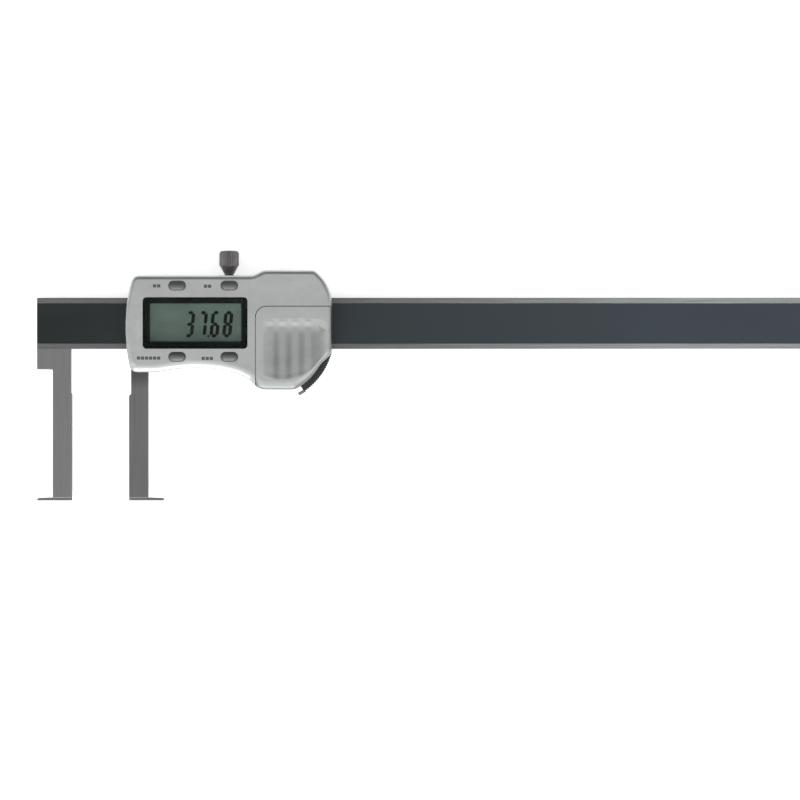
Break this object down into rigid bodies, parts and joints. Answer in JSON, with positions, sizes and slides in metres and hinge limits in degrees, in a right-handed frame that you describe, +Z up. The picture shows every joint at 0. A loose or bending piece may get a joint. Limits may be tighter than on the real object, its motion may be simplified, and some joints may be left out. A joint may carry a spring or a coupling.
{
  "type": "digital caliper",
  "caption": "Digital inside-groove caliper: steel beam, hooked fixed and sliding jaws, readout with buttons, lock screw and ribbed battery cover.",
  "frame": {"origin": "under the middle of the whole caliper's box, on the plane its back rests on", "axes": "+X along the beam away from the jaws, +Y across the beam away from the jaws' tips, +Z up out of the display"},
  "size_m": [0.245, 0.078, 0.0148],
  "materials": {
    "beam_steel": "fine ground, satin",
    "jaw_steel": "ground",
    "frame_steel": "machined",
    "scale_film": "smooth, slightly glossy",
    "circuit_board": "solder resist",
    "housing_silver": "fine satin chrome",
    "button_silver": "polished dome",
    "screw_steel": "blackened",
    "lock_steel": "knurled, dark",
    "spring_steel": "bright",
    "gib_bronze": "ground",
    "contact_gold": "plated",
    "thumb_rest_dark": "serrated, dull",
    "inner_plastic": "moulded",
    "window_dark": "clear pane with a printed dark border",
    "display_grey": "grey-green liquid-crystal panel",
    "contact_rubber": "matt",
    "battery_steel": "bright"
  },
  "bodies": {
    "beam": {"beam": "beam_steel", "scale_board": "circuit_board", "scale_film": "scale_film", "fixed_jaw": "jaw_steel", "fixed_jaw_tip": "jaw_steel", "end_stop": "frame_steel", "end_stop_screw_1": "screw_steel", "end_stop_screw_2": "screw_steel"},
    "slider": {"slider_frame": "frame_steel", "sliding_jaw": "jaw_steel", "sliding_jaw_tip": "jaw_steel", "back_plate": "frame_steel", "case_screw_1": "screw_steel", "case_screw_2": "screw_steel", "case_screw_3": "screw_steel", "case_screw_4": "screw_steel", "gib_strip": "gib_bronze", "gib_screw_1": "screw_steel", "gib_screw_2": "screw_steel", "thumb_rest": "thumb_rest_dark", "front_housing": "housing_silver", "main_board": "circuit_board", "chip_cover": "contact_rubber", "snap_dome_1": "spring_steel", "snap_dome_2": "spring_steel", "snap_dome_3": "spring_steel", "snap_dome_4": "spring_steel", "display_holder": "inner_plastic", "contact_strip_1": "contact_rubber", "contact_strip_2": "contact_rubber", "display_glass": "display_grey", "display_window": "window_dark", "battery_tray": "inner_plastic", "battery": "battery_steel", "battery_contact_negative": "contact_gold", "battery_contact_positive": "contact_gold"},
    "lock_screw": {"lock_screw": "lock_steel"},
    "battery_cover": {"battery_cover": "housing_silver"},
    "button_1": {"button_1": "button_silver"},
    "button_2": {"button_2": "button_silver"},
    "button_3": {"button_3": "button_silver"},
    "button_4": {"button_4": "button_silver"}
  },
  "joints": [
    {"name": "slider_travel", "type": "slide", "parent": "beam", "child": "slider", "axis": [1, 0, 0], "range_m": [-0.0177, 0.1374]},
    {"name": "lock_screw_turn", "type": "hinge", "parent": "slider", "child": "lock_screw", "pos_m": [-0.06258, 0.0343, 0.00335], "axis": [0, 1, 0], "range_deg": [-180, 0]},
    {"name": "battery_cover_slide", "type": "slide", "parent": "slider", "child": "battery_cover", "axis": [1, 0, 0], "range_m": [0, 0.0245]},
    {"name": "button_1_press", "type": "slide", "parent": "slider", "child": "button_1", "axis": [0, 0, -1], "range_m": [0, 0.0004], "stiffness_N_per_m": 300, "springref_m": -0.0003},
    {"name": "button_2_press", "type": "slide", "parent": "slider", "child": "button_2", "axis": [0, 0, -1], "range_m": [0, 0.0004], "stiffness_N_per_m": 300, "springref_m": -0.0003},
    {"name": "button_3_press", "type": "slide", "parent": "slider", "child": "button_3", "axis": [0, 0, -1], "range_m": [0, 0.0004], "stiffness_N_per_m": 300, "springref_m": -0.0003},
    {"name": "button_4_press", "type": "slide", "parent": "slider", "child": "button_4", "axis": [0, 0, -1], "range_m": [0, 0.0004], "stiffness_N_per_m": 300, "springref_m": -0.0003}
  ]
}
